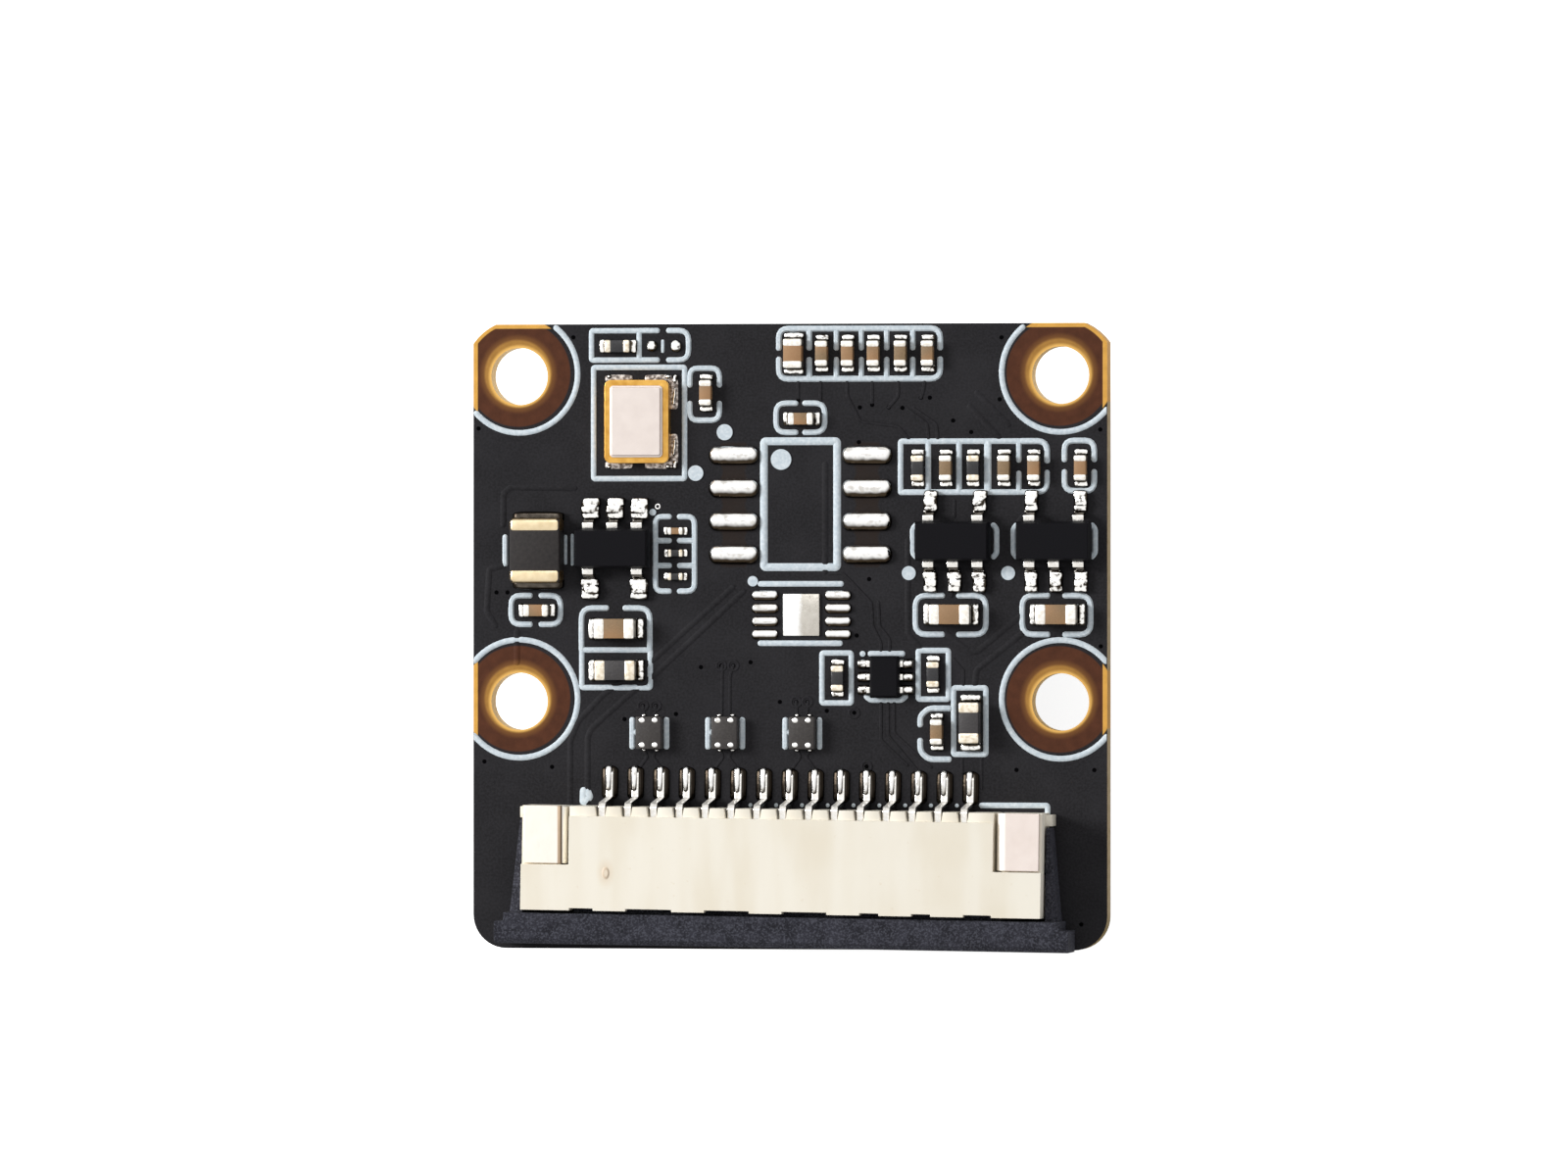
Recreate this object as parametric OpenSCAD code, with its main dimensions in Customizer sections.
// Small camera module: a black circuit board that carries its chips and a ribbon connector
// on the back, and a square lens holder on the front. It lies on the rim of its lens, with
// the connector side up.
// Origin: on the optical axis, in the plane of the lens barrel's front rim.
// X runs along the connector, Y away from it, Z from the rim towards the connector side.

/* [Board] */
// Width of the board, along the connector
board_w = 24.6; // [24.6:0.2:40]
// Height of the board, across the connector
board_h = 24; // [24:0.5:40]
// Thickness of the laminate
board_t = 1; // [0.8:0.1:1.6]
// Radius of the board's two lower corners
board_corner_r = 1.3; // [0.4:0.1:1.9]
// Reach of the two upper corners' arcs past the board's nearer edges
corner_swell = 0.2; // [0:0.05:0.4]
// Diameter of the four mounting holes
hole_d = 2.2; // [1.8:0.1:2.4]
// Distance between the mounting holes across the connector
hole_spacing_y = 12.5; // [10:0.25:13]
// Distance of the mounting holes from the board's side edges
hole_side = 1.8; // [1.6:0.1:3]
// Distance of the upper mounting holes from the board's upper edge
hole_edge = 2; // [1.6:0.1:3]
// Distance of the optical axis below the board's centre
lens_offset = 2.5; // [0:0.25:4]
// Height of the board's front face above the rim of the lens
board_lift = 5.4; // [5.1:0.1:9]

/* [Chips] */
// Length of a small chip
small_l = 1; // [0.9:0.05:1.1]
// Width of a small chip
small_w = 0.5; // [0.4:0.05:0.6]
// Height of a small capacitor
small_cap_h = 0.5; // [0.3:0.05:0.6]
// Height of a small resistor
small_res_h = 0.36; // [0.25:0.01:0.5]
// Length of a tiny chip
tiny_l = 0.6; // [0.5:0.05:0.7]
// Width of a tiny chip
tiny_w = 0.3; // [0.25:0.01:0.4]
// Height of a tiny chip
tiny_h = 0.25; // [0.2:0.01:0.35]
// Length of a large chip
large_l = 1.6; // [1.4:0.05:1.8]
// Width of a large chip
large_w = 0.8; // [0.7:0.05:0.9]
// Height of a large chip
large_h = 0.8; // [0.4:0.05:1]
// Part of a chip's length that each metal end takes
end_share = 0.25; // [0.15:0.01:0.3]
// Length of the solder fillet at a chip's end
fillet_l = 0.22; // [0.1:0.01:0.3]
// Length of the power inductor
inductor_l = 2.5; // [2:0.1:2.8]
// Width of the power inductor
inductor_w = 2; // [1.6:0.1:2.1]
// Height of the power inductor
inductor_h = 1; // [0.6:0.1:1.8]
// Length of a data line choke
choke_l = 1.25; // [1:0.05:1.4]
// Width of a data line choke
choke_w = 1; // [0.8:0.05:1.2]
// Height of a data line choke
choke_h = 0.5; // [0.4:0.05:0.9]
// Diameter of a choke's four terminals
choke_terminal_d = 0.27; // [0.2:0.01:0.35]
// Length of the crystal
crystal_l = 3.2; // [2.8:0.1:3.5]
// Width of the crystal
crystal_w = 2.5; // [2:0.1:2.8]
// Height of the crystal's ceramic base
crystal_base_h = 0.55; // [0.4:0.05:0.8]
// Height of the crystal's metal lid
crystal_lid_h = 0.2; // [0.1:0.05:0.4]
// Width of the base's rim around the lid
crystal_rim = 0.22; // [0.15:0.01:0.3]

/* [Leaded chips] */
// Length of a regulator's body
regulator_l = 2.9; // [2.6:0.1:3.1]
// Width of a regulator's body
regulator_w = 1.5; // [1.3:0.1:1.7]
// Height of a regulator's body
regulator_h = 1; // [0.8:0.05:1.3]
// Distance between a regulator's leads
regulator_pitch = 0.95; // [0.8:0.05:1]
// Width of a regulator's lead
regulator_lead_w = 0.42; // [0.3:0.01:0.5]
// Reach of a regulator's lead from its body
regulator_lead_reach = 0.62; // [0.5:0.02:0.8]
// Length of the switch chip's body
switch_l = 1.6; // [1.4:0.1:1.8]
// Width of the switch chip's body
switch_w = 1.15; // [1:0.05:1.3]
// Height of the switch chip's body
switch_h = 0.55; // [0.45:0.05:0.8]
// Distance between the switch chip's leads
switch_pitch = 0.5; // [0.45:0.01:0.6]
// Width of the switch chip's lead
switch_lead_w = 0.22; // [0.15:0.01:0.3]
// Reach of the switch chip's lead from its body
switch_lead_reach = 0.22; // [0.18:0.01:0.4]
// Thickness of every chip lead
lead_t = 0.14; // [0.1:0.01:0.2]

/* [Ribbon connector] */
// Number of contacts
contact_count = 15; // [4:1:15]
// Distance between contacts
contact_pitch = 1; // [1:0.05:1.1]
// Thickness of the sheet that the contacts are cut from
contact_w = 0.3; // [0.2:0.01:0.35]
// Depth of the housing, without the slide latch
housing_d = 4; // [3.8:0.1:5]
// Height of the housing
housing_h = 2.3; // [2.2:0.05:3]
// Housing beyond the first and the last contact
housing_end = 3.05; // [3:0.05:4]
// Depth of the toothed rear ledge
tooth_d = 0.38; // [0.3:0.02:0.5]
// Drop of the toothed ledge below the top
tooth_drop = 0.15; // [0.05:0.01:0.3]
// Clear height of the ribbon's slot
slot_h = 1; // [0.9:0.05:1.1]
// Height of the slot's floor above the board
slot_floor = 0.65; // [0.6:0.05:0.75]
// Length of a contact's foot behind the housing
foot_l = 1.35; // [1:0.05:1.8]
// Depth of the slide latch's bar
bar_d = 1.18; // [1:0.02:1.6]
// Height of the slide latch above the board
bar_h = 2.1; // [1.9:0.05:2.3]
// Thickness of the slide latch's tongue
tongue_t = 0.45; // [0.3:0.01:0.5]
// Height of the slide latch's arms
arm_h = 1.4; // [1.2:0.05:1.8]
// How far the slide latch pulls out
latch_travel = 1.3; // [0.8:0.05:1.4]
// Clearance between the slide latch and the housing
latch_gap = 0.06; // [0.04:0.01:0.1]
// Angle that the connector sits off square, clockwise
connector_skew = 0.8; // [0:0.1:1]
// Thickness of the hold-down brackets' sheet
bracket_t = 0.2; // [0.12:0.01:0.25]
// Depth of the hold-down brackets
bracket_d = 2.2; // [1.6:0.1:2.6]

/* [Lens side] */
// Width of the square lens holder
holder_w = 8.5; // [7.5:0.1:10]
// Height of the holder's square base
holder_base_h = 2.8; // [2.5:0.1:3.4]
// Wall of the holder's base
holder_wall = 0.7; // [0.5:0.05:0.9]
// Thickness of the holder's roof
holder_roof = 0.8; // [0.6:0.05:1.2]
// Diameter of the holder's round tower
tower_d = 7.4; // [7:0.1:7.5]
// How far the lens barrel stands out of the tower
barrel_show = 1.2; // [0.9:0.05:1.5]
// Outside diameter of the barrel's thread
thread_d = 6; // [5.5:0.1:6.2]
// Distance between the barrel's thread crests
thread_pitch = 0.35; // [0.25:0.05:0.5]
// Diameter of the barrel's head
head_d = 6.6; // [6.3:0.1:7]
// Height of the barrel's head
head_h = 0.9; // [0.7:0.05:1.1]
// Length of the lens barrel
barrel_l = 3; // [2.8:0.05:3.2]
// Diameter of the lens elements' seat
lens_seat_d = 4.6; // [4.2:0.1:4.8]
// Diameter of the aperture
aperture_d = 2.3; // [1.6:0.1:2.6]
// Thickness of each lens element's flange
lens_flange_t = 0.7; // [0.5:0.05:0.8]
// Thickness of the ring between the lens elements
lens_spacer_t = 0.3; // [0.2:0.05:0.4]
// Clearance between the infrared filter and the holder's walls
filter_gap = 0.35; // [0.1:0.05:0.4]
// Thickness of the infrared filter
filter_t = 0.3; // [0.2:0.05:0.4]
// Width of the square image sensor
sensor_w = 6.2; // [5:0.1:6.4]
// Thickness of the image sensor's chip
sensor_t = 0.45; // [0.3:0.05:0.6]
// Thickness of the sensor's cover glass
cover_glass_t = 0.3; // [0.2:0.05:0.5]

/* [Hidden] */
$fn = 48;
cut = 0.01; // overlap that lets a cut pass through a face

// Heights of the board's two faces, and the board's centre seen from the optical axis
board_back_z = board_lift + board_t;
board_mid_y = lens_offset;
hole_upper_y = board_h / 2 - hole_edge;
hole_spacing_x = board_w - 2 * hole_side;
corner_arc_r = max(hole_side, hole_edge) + corner_swell;

// The chips' area reaches from the connector's rear to the board's upper edge. The places
// below are drawn for an area of this size, and spread with the board's own.
layout_w = 24.6;
layout_d = 18.6;
layout_top = 12;

// Outer sizes of the chip packages: length, width and height
tiny = [tiny_l, tiny_w, tiny_h];
small_cap = [small_l, small_w, small_cap_h];
small_res = [small_l, small_w, small_res_h];
stout = [small_l * 1.15, small_w * 1.5, small_cap_h * 1.2];
large = [large_l, large_w, large_h];
large_flat = [large_l, large_w, large_h * 0.75];

// Chips on the back: centre, angle of the long side, package
capacitors = [
    [-3.20, 9.35, 90, small_cap], [0.20, 10.85, 90, stout], [1.30, 10.85, 90, small_cap],
    [2.30, 10.85, 90, small_cap], [3.30, 10.85, 90, small_cap], [4.35, 10.85, 90, small_cap],
    [5.40, 10.85, 90, small_cap], [0.50, 8.35, 0, small_cap], [6.10, 6.45, 90, small_cap],
    [8.35, 6.45, 90, small_cap], [9.50, 6.45, 90, small_cap], [11.30, 6.45, 90, small_cap],
    [-4.40, 4.05, 0, tiny], [-9.80, 1.00, 0, small_cap], [-6.70, 0.30, 0, large],
    [6.30, 0.85, 0, large], [10.40, 0.85, 0, large], [5.75, -3.65, 90, small_cap]
];
resistors = [
    [-6.65, 11.15, 0, small_res], [5.00, 6.45, 90, small_res], [7.15, 6.45, 90, small_res],
    [-4.40, 3.20, 0, tiny], [-4.40, 2.30, 0, tiny], [1.90, -1.60, 90, small_res],
    [5.60, -1.45, 90, small_res]
];
beads = [[-6.70, -1.30, 0, large_flat], [7.05, -3.30, 90, large]];
inductor_at = [-9.75, 3.30];
crystal_at = [-5.85, 8.25];
choke_at = [[-5.40, -3.70], [-2.45, -3.70], [0.55, -3.70]];

// Leaded chips: centre, and the angle of the side with more leads
regulators = [[-6.80, 3.38, 0], [6.40, 3.65, 180], [10.30, 3.65, 180]];
regulator_rows = [[-1, 0, 1], [-1, 1]];
switch_at = [3.75, -1.55, 90];
switch_rows = [[-1, 0, 1], [-1, 0, 1]];
body_standoff = 0.1;
body_draft = 0.07;
regulator_pad_l = 0.85;
switch_pad_l = 0.34;
choke_fillet_l = 0.12;
crystal_notch_r = 0.3;
crystal_corner_r = 0.25;
lid_corner_r = 0.15;
lid_step = 0.08;
lead_pad_spread = 0.12;
lead_solder_h = 0.1;

// Bare lands of two chips that this board leaves out: centre, size and spacing of the lands
memory_at = [0.435, 5.05];
memory_land = [1.8, 0.6, 0.25];
memory_land_x = 2.585;
memory_land_step = 1.27;
key_chip_at = [0.48, 0.83];
key_land = [0.88, 0.26, 0.11];
key_land_x = 1.42;
key_land_step = 0.5;
key_slug = [1.42, 1.6, 0.14];

// Connector, in its own frame: X along it, Y zero at the tips of the rear teeth and negative
// towards the ribbon's mouth, Z zero on the board
ribbon_w = (contact_count + 1) * contact_pitch;
first_contact = -(contact_count - 1) / 2 * contact_pitch;
housing_w = (contact_count - 1) * contact_pitch + 2 * housing_end;
slot_w = ribbon_w + 0.3;
slot_ceiling = slot_floor + slot_h;
rear_wall = 1;
groove_w = contact_w + 0.04;
groove_z = [slot_floor - 0.37, slot_ceiling + 0.27];
notch_mouth = groove_w + 0.12;
contact_z = [groove_z[0] + 0.02, groove_z[1] - 0.02];
beam_t = 0.2;
beam_tip = -3.2;
arm_tip = -2.4;
spine_front = -0.85;
bump_y = -2.65;
bump_h = 0.15;
lip_recess = 0.09;
lip_tongues = [-6.6, -3.55, -0.55, 2.45, 4.45, 6.45];
lip_tongue_w = 1.27;
bar_gap = 0.12;
bar_front = -(housing_d + bar_gap + bar_d);
bar_w = housing_w + 2.1;
arm_rear = -0.55;
arm_rear_t = 0.14;
arm_front_t = 0.5;
hook_z = [0.4, 1.1];
hook_d = 0.4;
hook_reach = 0.25;
channel_end = 0.3;
hook_rear = -(housing_d - channel_end - hook_d - latch_travel - latch_gap);
tongue_z = slot_ceiling - latch_gap - tongue_t;
tongue_reach = 2.6;
ear_w = 0.25;
ear_h = 1.12;
bracket_bend_r = 0.35;
bracket_x = [slot_w / 2 + 0.15, housing_w / 2 - 0.1];
bracket_z = housing_h - 0.05;
bar_inset = 0.1;
connector_rear_y = -board_h / 2 - bar_front + bar_inset;
foot_solder = [1.2, 0.56, 0.17];

// Lens side, in heights above the lens rim
holder_corner_r = 0.5;
cavity_w = holder_w - 2 * holder_wall;
filter_w = cavity_w - 2 * filter_gap;
tower_z = board_lift - holder_base_h;
roof_z = tower_z + holder_roof;
thread_gap = 0.04;
thread_depth = 0.12;
cone_h = 0.45;
cone_d = 4.4;
aperture_t = 0.15;
lens_seat_z = cone_h + aperture_t;
lens_gap = 0.02;
lens_r = lens_seat_d / 2 - lens_gap;
front_dome_r = 1.6;
front_dome_d = aperture_d - 0.1;
rear_dome_r = 3;
rear_dome_d = 3;
spacer_bore_d = 3;
retainer_bore_d = 3.4;
rear_lens_z = lens_seat_z + lens_flange_t + lens_spacer_t;
retainer_z = rear_lens_z + lens_flange_t;
glue_w = 0.4;
glue_h = 0.6;

// ---------------------------------------------------------------- shapes used again

// Plate with rounded corners, standing on Z zero and centred on X and Y
module rounded_plate(size, r) {
    linear_extrude(size[2]) {
        square([size[0], size[1] - 2 * r], center = true);
        square([size[0] - 2 * r, size[1]], center = true);
        for (x = [-1, 1], y = [-1, 1])
            translate([x * (size[0] / 2 - r), y * (size[1] / 2 - r)]) circle(r);
    }
}

// Long low solder dome with round ends, lying along X on Z zero
module solder_dome(size) {
    r = (size[1] * size[1] / 4 + size[2] * size[2]) / (2 * size[2]);
    reach = size[0] / 2 - size[1] / 2;
    intersection() {
        translate([0, 0, size[2] - r]) {
            rotate([0, 90, 0]) cylinder(h = 2 * reach, r = r, center = true);
            for (x = [-reach, reach]) translate([x, 0, 0]) sphere(r);
        }
        translate([-size[0], -size[1], 0]) cube([2 * size[0], 2 * size[1], 2 * size[2]]);
    }
}

// Profile in X and Z, drawn out along Y about Y zero
module along_y(length) {
    translate([0, length / 2, 0]) rotate([90, 0, 0]) linear_extrude(length) children();
}

// Profile whose X is Y and whose Y is Z, drawn out along X about X zero
module along_x(length) {
    translate([-length / 2, 0, 0]) rotate([90, 0, 90]) linear_extrude(length) children();
}

// Puts a chip on the board's back face, at its place in the chips' area
module on_back(at, turn = 0) {
    spread_x = board_w / layout_w;
    spread_y = (board_h / 2 - connector_rear_y) / layout_d;
    translate([at[0] * spread_x, board_mid_y + board_h / 2 - (layout_top - at[1]) * spread_y,
               board_back_z])
        rotate([0, 0, turn]) children();
}

// Puts the connector's pieces on the board, turned by the skew about the housing's middle
module at_connector() {
    translate([0, board_mid_y + connector_rear_y - housing_d / 2, board_back_z])
        rotate([0, 0, -connector_skew]) translate([0, housing_d / 2, 0]) children();
}

// ---------------------------------------------------------------- the board

// Outline with small lower corners, and upper corners that run round the mounting holes
module board_outline() {
    translate([-board_w / 2 + board_corner_r, -board_h / 2])
        square([board_w - 2 * board_corner_r, board_h - hole_edge]);
    for (x = [-1, 1]) {
        translate([x * (board_w / 2 - board_corner_r), -board_h / 2 + board_corner_r])
            circle(board_corner_r);
        translate([x * hole_spacing_x / 2, hole_upper_y]) intersection() {
            circle(corner_arc_r);
            square([2 * hole_side, 2 * hole_edge], center = true);
        }
    }
    translate([-board_w / 2, -board_h / 2 + board_corner_r])
        square([board_w, board_h - board_corner_r - hole_edge]);
    translate([-hole_spacing_x / 2, 0]) square([hole_spacing_x, board_h / 2]);
}

module circuit_board() {
    color([0.13, 0.13, 0.15]) translate([0, board_mid_y, board_lift]) difference() {
        linear_extrude(board_t) board_outline();
        for (x = [-1, 1], row = [0, 1])
            translate([x * hole_spacing_x / 2, hole_upper_y - row * hole_spacing_y, -cut])
                cylinder(h = board_t + 2 * cut, d = hole_d);
    }
}

// ---------------------------------------------------------------- chips

// Chip along X: a ceramic block between two slightly thicker metal ends
module chip(size, body_colour) {
    end_l = size[0] * end_share;
    skin = 0.02;
    color(body_colour) translate([-size[0] / 2 + skin, -size[1] / 2 + skin, skin])
        cube([size[0] - 2 * skin, size[1] - 2 * skin, size[2] - 2 * skin]);
    color("silver") for (side = [-1, 1])
        translate([side * (size[0] - end_l) / 2, 0, 0])
            along_x(end_l) chamfered_square(size[1], size[2], skin * 2);
}

// Rectangle that stands on zero, with its four corners cut
module chamfered_square(w, h, c) {
    polygon([[-w / 2 + c, 0], [w / 2 - c, 0], [w / 2, c], [w / 2, h - c], [w / 2 - c, h],
             [-w / 2 + c, h], [-w / 2, h - c], [-w / 2, c]]);
}

module capacitor(number) {
    at = capacitors[number - 1];
    on_back(at, at[2]) chip(at[3], [0.62, 0.48, 0.35]);
}

module resistor(number) {
    at = resistors[number - 1];
    on_back(at, at[2]) chip(at[3], [0.1, 0.1, 0.11]);
}

module ferrite_bead(number) {
    at = beads[number - 1];
    on_back(at, at[2]) chip(at[3], [0.2, 0.19, 0.19]);
}

module power_inductor() {
    on_back(inductor_at, 90) chip([inductor_l, inductor_w, inductor_h], [0.2, 0.19, 0.2]);
}

// Four-terminal choke: a block with a round metal terminal set into each corner
module line_choke(number) {
    inset = choke_terminal_d * 0.6;
    on_back(choke_at[number - 1]) {
        color([0.33, 0.31, 0.3])
            rounded_plate([choke_w, choke_l, choke_h], 0.06);
        color("silver") for (x = [-1, 1], y = [-1, 1])
            translate([x * choke_w / 4, y * (choke_l / 2 - inset), 0])
                cylinder(h = choke_h + 0.02, d = choke_terminal_d);
    }
}

module crystal_base() {
    on_back(crystal_at) color("goldenrod") difference() {
        rounded_plate([crystal_w, crystal_l, crystal_base_h], crystal_corner_r);
        for (x = [-1, 1], y = [-1, 1])
            translate([x * crystal_w / 2, y * crystal_l / 2, -cut])
                cylinder(h = crystal_base_h / 2, r = crystal_notch_r);
    }
}

module crystal_lid() {
    lid_w = crystal_w - 2 * crystal_rim;
    lid_l = crystal_l - 2 * crystal_rim;
    on_back(crystal_at) color("lightgrey") translate([0, 0, crystal_base_h]) {
        rounded_plate([lid_w, lid_l, crystal_lid_h / 2], lid_corner_r);
        rounded_plate([lid_w - 2 * lid_step, lid_l - 2 * lid_step, crystal_lid_h],
                      lid_corner_r - lid_step);
    }
}

// ---------------------------------------------------------------- leaded chips

// Heights of the band at a moulded body's widest, where its leads come out
function band_z(h) = [h / 2 - lead_t / 2, h / 2 + lead_t / 2];

// Side view of a moulded body: drafted above and below the band
module drafted_profile(w, h) {
    polygon([[-w / 2 + body_draft, body_standoff], [w / 2 - body_draft, body_standoff],
             [w / 2, band_z(h)[0]], [w / 2, band_z(h)[1]], [w / 2 - body_draft, h],
             [-w / 2 + body_draft, h], [-w / 2, band_z(h)[1]], [-w / 2, band_z(h)[0]]]);
}

module moulded_body(l, w, h) {
    color([0.15, 0.15, 0.16]) intersection() {
        along_y(w) drafted_profile(l, h);
        along_x(l) drafted_profile(w, h);
    }
}

// Gull-wing lead that leaves a body's side at Y zero, drops and ends in a flat foot
module lead(w, h, reach) {
    bend = reach * 0.3;
    along_x(w) polygon([
        [0, band_z(h)[1]], [bend + lead_t * 0.4, band_z(h)[1]], [bend + lead_t, band_z(h)[0]],
        [bend + lead_t * 1.3, lead_t], [reach, lead_t], [reach, 0],
        [bend + lead_t * 0.3, 0], [bend, band_z(h)[0]], [0, band_z(h)[0]]]);
}

// Places its children at each lead of a body: the first row at +Y, the second at -Y
module at_leads(rows, pitch, body_w) {
    for (row = [0, 1], place = rows[row])
        rotate([0, 0, row * 180]) translate([place * pitch, body_w / 2, 0]) children();
}

module regulator_body(number) {
    at = regulators[number - 1];
    on_back(at, at[2]) moulded_body(regulator_l, regulator_w, regulator_h);
}

module regulator_leads(number) {
    at = regulators[number - 1];
    on_back(at, at[2]) color("silver") at_leads(regulator_rows, regulator_pitch, regulator_w)
        lead(regulator_lead_w, regulator_h, regulator_lead_reach);
}

module switch_chip_body() {
    on_back(switch_at, switch_at[2]) moulded_body(switch_l, switch_w, switch_h);
}

module switch_chip_leads() {
    on_back(switch_at, switch_at[2]) color("silver")
        at_leads(switch_rows, switch_pitch, switch_w)
            lead(switch_lead_w, switch_h, switch_lead_reach);
}

// ---------------------------------------------------------------- ribbon connector

// Places its children at each contact
module at_contacts() {
    for (i = [0 : contact_count - 1])
        translate([first_contact + i * contact_pitch, 0, 0]) children();
}

// Side view of a contact: a foot on the board, a steep leg up to the spine in the rear wall,
// a lower beam that ends in the bump that touches the ribbon, and a short upper arm
module contact_profile() {
    foot_t = 0.18;
    polygon([
        [foot_l, 0], [foot_l, foot_t * 0.6], [foot_l - 0.1, foot_t], [0.62, foot_t],
        [0.16, contact_z[1] - 0.15], [0, contact_z[1]], [arm_tip, contact_z[1]],
        [arm_tip, contact_z[1] - beam_t], [spine_front, contact_z[1] - beam_t],
        [spine_front, contact_z[0] + beam_t], [bump_y + 0.5, contact_z[0] + beam_t],
        [bump_y + 0.1, slot_floor + bump_h], [bump_y - 0.1, slot_floor + bump_h],
        [beam_tip, contact_z[0] + beam_t * 0.8], [beam_tip, contact_z[0]],
        [-0.2, contact_z[0]], [0.3, 0]]);
}

module connector_contacts() {
    color("silver") at_connector() at_contacts() along_x(contact_w) contact_profile();
}

// Room for a contact inside the housing: through the rear wall, then under and over the slot
module contact_groove_profile() {
    polygon([
        [-tooth_d + cut, groove_z[0]], [beam_tip - 0.1, groove_z[0]],
        [beam_tip - 0.1, slot_floor + cut], [spine_front - 0.15, slot_floor + cut],
        [spine_front - 0.15, slot_ceiling - cut], [arm_tip - 0.1, slot_ceiling - cut],
        [arm_tip - 0.1, groove_z[1]], [-tooth_d + cut, groove_z[1]]]);
}

// Gap between two rear teeth, seen from above, wider at the teeth's tips
module notch_outline() {
    polygon([[-groove_w / 2, -tooth_d], [-notch_mouth / 2, cut], [notch_mouth / 2, cut],
             [groove_w / 2, -tooth_d]]);
}

// Housing without its cuts: block, lower toothed ledge at the rear and the ears that close
// the slide latch's way back
module housing_block() {
    translate([-housing_w / 2, -housing_d, 0])
        cube([housing_w, housing_d - tooth_d, housing_h]);
    translate([-housing_w / 2, -tooth_d - cut, 0])
        cube([housing_w, tooth_d + cut, housing_h - tooth_drop]);
    for (side = [-1, 1])
        translate([side * housing_w / 2 - ear_w, arm_rear + latch_gap, 0])
            cube([2 * ear_w, -arm_rear - 2 * latch_gap, ear_h]);
}

// Seat of one hold-down: a shallow step for its plate and a slot down to the board for its leg
module bracket_seat() {
    translate([bracket_x[0] - 0.1, -bracket_d - 0.05, bracket_z - bracket_t])
        cube([housing_w, bracket_d + 1, housing_h]);
    translate([bracket_x[0] - 0.1, -bracket_d - 0.05, -cut])
        cube([bracket_t + 0.12, bracket_d + 1, housing_h]);
}

module connector_housing() {
    lip_d = lip_recess + cut;
    color("ivory") at_connector() difference() {
        housing_block();
        // slot for the ribbon and the latch's tongue, with a widened lower lip
        translate([-slot_w / 2, -housing_d - cut, slot_floor])
            cube([slot_w, housing_d - rear_wall + cut, slot_h]);
        along_x(slot_w) polygon([[-housing_d - cut, slot_floor + cut],
            [-housing_d - cut, slot_floor - 0.25], [-housing_d + 0.35, slot_floor + cut]]);
        // contact grooves and the notches between the rear teeth
        at_contacts() {
            along_x(groove_w) contact_groove_profile();
            translate([0, 0, -cut]) linear_extrude(housing_h) notch_outline();
        }
        // front edge of the roof, set back between its tongues
        for (i = [0 : len(lip_tongues)])
            let (from = i == 0 ? -slot_w / 2 : lip_tongues[i - 1] + lip_tongue_w / 2,
                 to = i == len(lip_tongues) ? slot_w / 2 : lip_tongues[i] - lip_tongue_w / 2)
                translate([from, -housing_d - cut, slot_ceiling - cut])
                    cube([to - from, lip_d, housing_h]);
        for (side = [0, 1]) mirror([side, 0, 0]) {
            bracket_seat();
            // channel that the slide latch's hook runs in
            translate([housing_w / 2 - hook_reach - latch_gap, -housing_d + channel_end,
                       hook_z[0] - latch_gap])
                cube([housing_w, hook_d + latch_travel + 2 * latch_gap,
                      hook_z[1] - hook_z[0] + 2 * latch_gap]);
        }
    }
}

// Two bent sheet brackets: a plate on the housing and a leg that is soldered to the board
module hold_downs() {
    color("whitesmoke") at_connector() for (side = [0, 1]) mirror([side, 0, 0])
        translate([0, -bracket_d / 2, 0]) along_y(bracket_d) difference() {
            union() {
                translate([bracket_x[0], 0])
                    square([bracket_t, bracket_z - bracket_bend_r]);
                translate([bracket_x[0] + bracket_bend_r, bracket_z - bracket_t])
                    square([bracket_x[1] - bracket_x[0] - bracket_bend_r, bracket_t]);
                translate([bracket_x[0] + bracket_bend_r, bracket_z - bracket_bend_r])
                    intersection() {
                        circle(bracket_bend_r);
                        translate([-bracket_bend_r, 0]) square(bracket_bend_r);
                    }
            }
            translate([bracket_x[0] + bracket_bend_r, bracket_z - bracket_bend_r])
                circle(bracket_bend_r - bracket_t);
        }
}

// Slide latch in its closed place: a bar before the mouth, a tongue that presses the ribbon
// on the contacts, and two tapered arms whose hooks stop it from coming off
module latch_slider() {
    bar_rear = -housing_d - bar_gap;
    arm_x = housing_w / 2 + latch_gap;
    grip_d = 0.35;
    color([0.2, 0.2, 0.23]) at_connector() {
        difference() {
            translate([-bar_w / 2, bar_front, latch_gap])
                cube([bar_w, bar_d, bar_h - latch_gap]);
            // way in for the ribbon under the tongue
            translate([-slot_w / 2, bar_front - cut, 0])
                cube([slot_w, bar_d + 2 * cut, tongue_z]);
            // bevel along the top front edge
            along_x(bar_w + 1) polygon([[bar_front - cut, bar_h + cut],
                [bar_front - cut, bar_h - 0.2], [bar_front + 0.2, bar_h + cut]]);
            // finger grips at both ends
            for (side = [-1, 1])
                translate([side * bar_w / 2, bar_rear + cut, arm_h])
                    cube([2 * grip_d, 2 * grip_d, 2 * bar_h], center = true);
        }
        translate([0, bar_rear - cut, 0]) tongue();
        for (side = [0, 1]) mirror([side, 0, 0]) {
            translate([0, 0, latch_gap]) linear_extrude(arm_h - latch_gap)
                polygon([[arm_x, arm_rear], [arm_x + arm_rear_t, arm_rear],
                         [arm_x + arm_front_t, bar_rear - cut], [arm_x, bar_rear - cut]]);
            translate([arm_x - hook_reach, hook_rear - hook_d, hook_z[0]])
                cube([hook_reach + arm_rear_t / 2, hook_d, hook_z[1] - hook_z[0]]);
        }
    }
}

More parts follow.
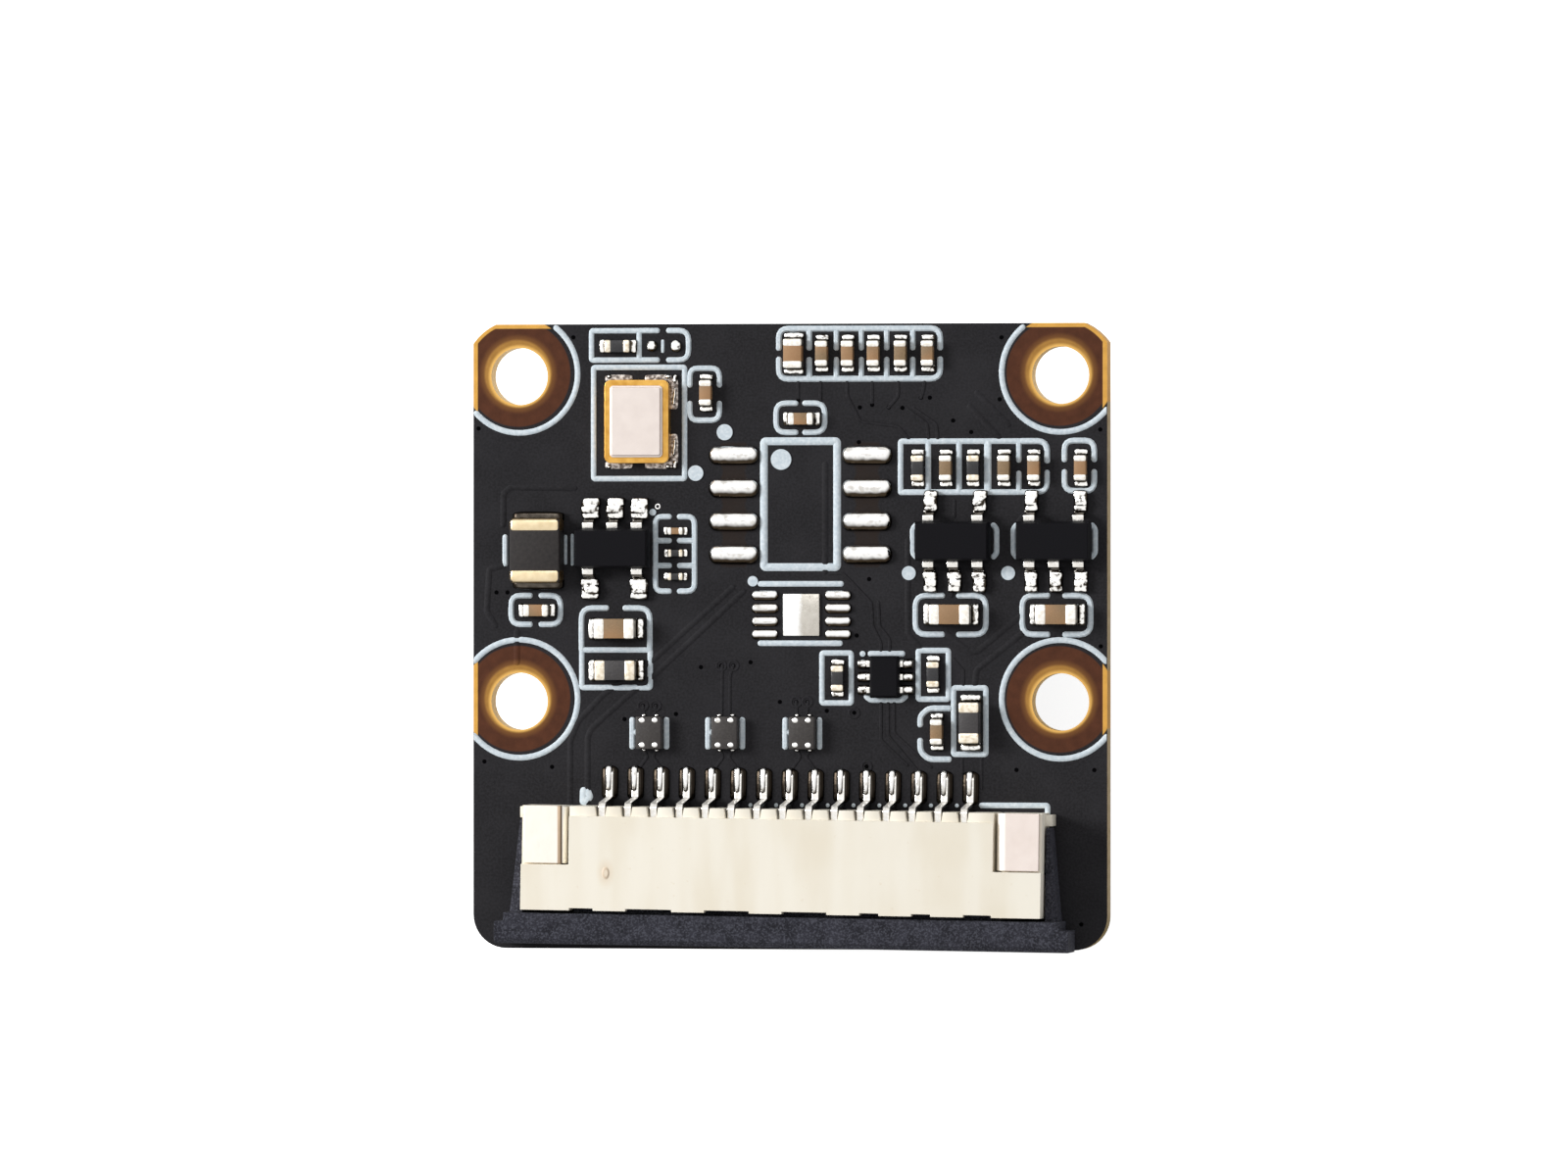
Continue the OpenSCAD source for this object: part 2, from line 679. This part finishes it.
// Thin tongue with a bevelled tip, from Y zero towards the slot's rear
module tongue() {
    tip = 0.4;
    along_x(slot_w - 2 * latch_gap) polygon([
        [0, tongue_z], [0, tongue_z + tongue_t], [tongue_reach, tongue_z + tongue_t],
        [tongue_reach, tongue_z + tongue_t * 0.6], [tongue_reach - tip, tongue_z]]);
}

// ---------------------------------------------------------------- solder

// Solder on the eight bare lands of the memory chip that this board leaves out
module spare_memory_solder() {
    color("silver") on_back(memory_at) for (side = [-1, 1], row = [-1.5 : 1 : 1.5])
        translate([side * memory_land_x, row * memory_land_step, 0]) solder_dome(memory_land);
}

// Solder on the lands and the middle slug of the small chip that this board leaves out
module spare_key_chip_solder() {
    color("silver") on_back(key_chip_at) {
        for (side = [-1, 1], row = [-1.5 : 1 : 1.5])
            translate([side * key_land_x, row * key_land_step, 0]) solder_dome(key_land);
        rounded_plate(key_slug, 0.12);
    }
}

// Concave fillets against both ends of a chip that lies along X
module chip_fillets(size) {
    for (side = [0, 1]) mirror([side, 0, 0]) translate([size[0] / 2, 0, 0])
        along_y(size[1]) fillet_profile(fillet_l, size[2]);
}

// Side view of a fillet that climbs a metal end of height h
module fillet_profile(l, h) {
    polygon([[0, 0], [l, 0], [l * 0.4, h * 0.25], [l * 0.15, h * 0.55], [0, h * 0.7]]);
}

// Fillets against the four terminals of a choke
module choke_fillets() {
    for (x = [-1, 1], side = [0, 1]) rotate([0, 0, 90 + side * 180])
        translate([choke_l / 2, x * choke_w / 4, 0])
            along_y(choke_terminal_d) fillet_profile(choke_fillet_l, choke_h);
}

// Solder in the four corner notches of the crystal's base
module crystal_corner_solder() {
    for (x = [-1, 1], y = [-1, 1])
        translate([x * crystal_w / 2, y * crystal_l / 2, 0])
            cylinder(h = crystal_base_h * 0.4, r = crystal_notch_r - 0.02);
}

// Flat solder around the foot of each lead
module lead_solder(rows, pitch, body_w, w, h, reach, pad_l) {
    difference() {
        at_leads(rows, pitch, body_w)
            translate([0, reach * 0.55 + pad_l / 2, 0])
                rounded_plate([w + lead_pad_spread, pad_l, lead_solder_h], 0.06);
        at_leads(rows, pitch, body_w) lead(w, h, reach);
    }
}

// Domed solder around each contact's foot, and a fillet at each hold-down's leg
module connector_solder() {
    at_contacts() difference() {
        translate([0, foot_l - foot_solder[0] * 0.45, 0]) rotate([0, 0, 90])
            solder_dome(foot_solder);
        along_x(contact_w) contact_profile();
    }
    for (side = [0, 1]) mirror([side, 0, 0]) translate([bracket_x[0] + bracket_t / 2, 0, 0])
        along_x(bracket_t) fillet_profile(fillet_l, slot_floor);
}

// All the solder that joins the fitted chips and the connector to the board
module solder_joints() {
    color("gainsboro") {
        for (at = concat(capacitors, resistors, beads)) on_back(at, at[2]) chip_fillets(at[3]);
        on_back(inductor_at, 90) chip_fillets([inductor_l, inductor_w, inductor_h * 0.6]);
        for (at = choke_at) on_back(at) choke_fillets();
        on_back(crystal_at) crystal_corner_solder();
        for (at = regulators)
            on_back(at, at[2]) lead_solder(regulator_rows, regulator_pitch, regulator_w,
                regulator_lead_w, regulator_h, regulator_lead_reach, regulator_pad_l);
        on_back(switch_at, switch_at[2]) lead_solder(switch_rows, switch_pitch, switch_w,
            switch_lead_w, switch_h, switch_lead_reach, switch_pad_l);
        at_connector() connector_solder();
    }
}

// ---------------------------------------------------------------- lens side

module image_sensor() {
    color([0.25, 0.27, 0.3]) translate([0, 0, board_lift - sensor_t])
        rounded_plate([sensor_w, sensor_w, sensor_t], 0.1);
}

module sensor_cover_glass() {
    glass_w = sensor_w - 0.3;
    color([0.5, 0.6, 0.6]) translate([0, 0, board_lift - sensor_t - cover_glass_t])
        rounded_plate([glass_w, glass_w, cover_glass_t], 0.1);
}

module infrared_filter() {
    color([0.5, 0.75, 0.75]) translate([0, 0, roof_z])
        rounded_plate([filter_w, filter_w, filter_t], 0.1);
}

// Square box that is open to the board, with a round tower for the barrel on its roof
module lens_holder() {
    color([0.12, 0.12, 0.13]) difference() {
        union() {
            translate([0, 0, tower_z])
                rounded_plate([holder_w, holder_w, holder_base_h], holder_corner_r);
            translate([0, 0, barrel_show])
                cylinder(h = tower_z - barrel_show + cut, d = tower_d);
        }
        translate([0, 0, roof_z])
            rounded_plate([cavity_w, cavity_w, holder_base_h], 0.2);
        translate([0, 0, barrel_show - cut])
            cylinder(h = roof_z - barrel_show + 2 * cut, d = thread_d + 2 * thread_gap);
    }
}

// Bead of glue with sloping sides around the foot of the holder
module holder_glue() {
    w = holder_w + 2 * glue_w;
    top = holder_w + 0.1;
    color([0.2, 0.2, 0.2]) difference() {
        intersection() {
            translate([0, 0, board_lift - glue_h]) rounded_plate([w, w, glue_h], 0.8);
            along_y(w) polygon([[-w / 2, board_lift], [-top / 2, board_lift - glue_h],
                                [top / 2, board_lift - glue_h], [w / 2, board_lift]]);
            along_x(w) polygon([[-w / 2, board_lift], [-top / 2, board_lift - glue_h],
                                [top / 2, board_lift - glue_h], [w / 2, board_lift]]);
        }
        translate([0, 0, board_lift - glue_h - cut])
            rounded_plate([holder_w, holder_w, glue_h + 2 * cut], holder_corner_r);
    }
}

// Turned barrel: a head with a cone towards the light, and a threaded body that holds the
// lens elements from behind
module lens_barrel() {
    crests = floor((barrel_l - head_h - 0.3) / thread_pitch);
    crest_r = thread_d / 2;
    chamfer = 0.15;
    color([0.1, 0.1, 0.11]) rotate_extrude() polygon(concat(
        [[cone_d / 2, 0], [head_d / 2 - chamfer, 0], [head_d / 2, chamfer],
         [head_d / 2, head_h], [crest_r - thread_depth, head_h]],
        [for (i = [0 : crests - 1], high = [0, 1])
            [crest_r - thread_depth * (1 - high), head_h + 0.1 + (i + high / 2) * thread_pitch]],
        [[crest_r - thread_depth, head_h + 0.1 + crests * thread_pitch],
         [crest_r - thread_depth, barrel_l], [lens_seat_d / 2, barrel_l],
         [lens_seat_d / 2, lens_seat_z], [aperture_d / 2, lens_seat_z],
         [aperture_d / 2, cone_h]]));
}

// Flange of a lens element with a domed face: upwards, or downwards with flip
module lens_element(dome_r, dome_d, flip) {
    sag = dome_r - sqrt(dome_r * dome_r - dome_d * dome_d / 4);
    cylinder(h = lens_flange_t, r = lens_r);
    translate([0, 0, flip ? 0 : lens_flange_t]) mirror([0, 0, flip ? 1 : 0])
        intersection() {
            translate([0, 0, sag - dome_r]) sphere(dome_r);
            translate([0, 0, -cut]) cylinder(h = sag + 2 * cut, d = dome_d);
        }
}

module front_lens() {
    color([0.45, 0.5, 0.6]) translate([0, 0, lens_seat_z])
        lens_element(front_dome_r, front_dome_d, true);
}

module rear_lens() {
    color([0.45, 0.5, 0.6]) translate([0, 0, rear_lens_z])
        lens_element(rear_dome_r, rear_dome_d, false);
}

module lens_ring(h, bore_d) {
    difference() {
        cylinder(h = h, r = lens_r);
        translate([0, 0, -cut]) cylinder(h = h + 2 * cut, d = bore_d);
    }
}

module lens_spacer() {
    color([0.1, 0.1, 0.1]) translate([0, 0, lens_seat_z + lens_flange_t])
        lens_ring(lens_spacer_t, spacer_bore_d);
}

module lens_retainer() {
    color([0.1, 0.1, 0.1]) translate([0, 0, retainer_z])
        lens_ring(barrel_l - retainer_z, retainer_bore_d);
}

// ---------------------------------------------------------------- drawing

circuit_board();
image_sensor();
sensor_cover_glass();
lens_holder();
holder_glue();
infrared_filter();
lens_barrel();
front_lens();
lens_spacer();
rear_lens();
lens_retainer();
crystal_base();
crystal_lid();
power_inductor();
regulator_body(1);  // regulator_1_body
regulator_leads(1);  // regulator_1_leads
regulator_body(2);  // regulator_2_body
regulator_leads(2);  // regulator_2_leads
regulator_body(3);  // regulator_3_body
regulator_leads(3);  // regulator_3_leads
switch_chip_body();
switch_chip_leads();
line_choke(1);  // line_choke_1
line_choke(2);  // line_choke_2
line_choke(3);  // line_choke_3
capacitor(1);  // capacitor_1
capacitor(2);  // capacitor_2
capacitor(3);  // capacitor_3
capacitor(4);  // capacitor_4
capacitor(5);  // capacitor_5
capacitor(6);  // capacitor_6
capacitor(7);  // capacitor_7
capacitor(8);  // capacitor_8
capacitor(9);  // capacitor_9
capacitor(10);  // capacitor_10
capacitor(11);  // capacitor_11
capacitor(12);  // capacitor_12
capacitor(13);  // capacitor_13
capacitor(14);  // capacitor_14
capacitor(15);  // capacitor_15
capacitor(16);  // capacitor_16
capacitor(17);  // capacitor_17
capacitor(18);  // capacitor_18
resistor(1);  // resistor_1
resistor(2);  // resistor_2
resistor(3);  // resistor_3
resistor(4);  // resistor_4
resistor(5);  // resistor_5
resistor(6);  // resistor_6
resistor(7);  // resistor_7
ferrite_bead(1);  // ferrite_bead_1
ferrite_bead(2);  // ferrite_bead_2
connector_housing();
connector_contacts();
hold_downs();
latch_slider();
spare_memory_solder();
spare_key_chip_solder();
solder_joints();
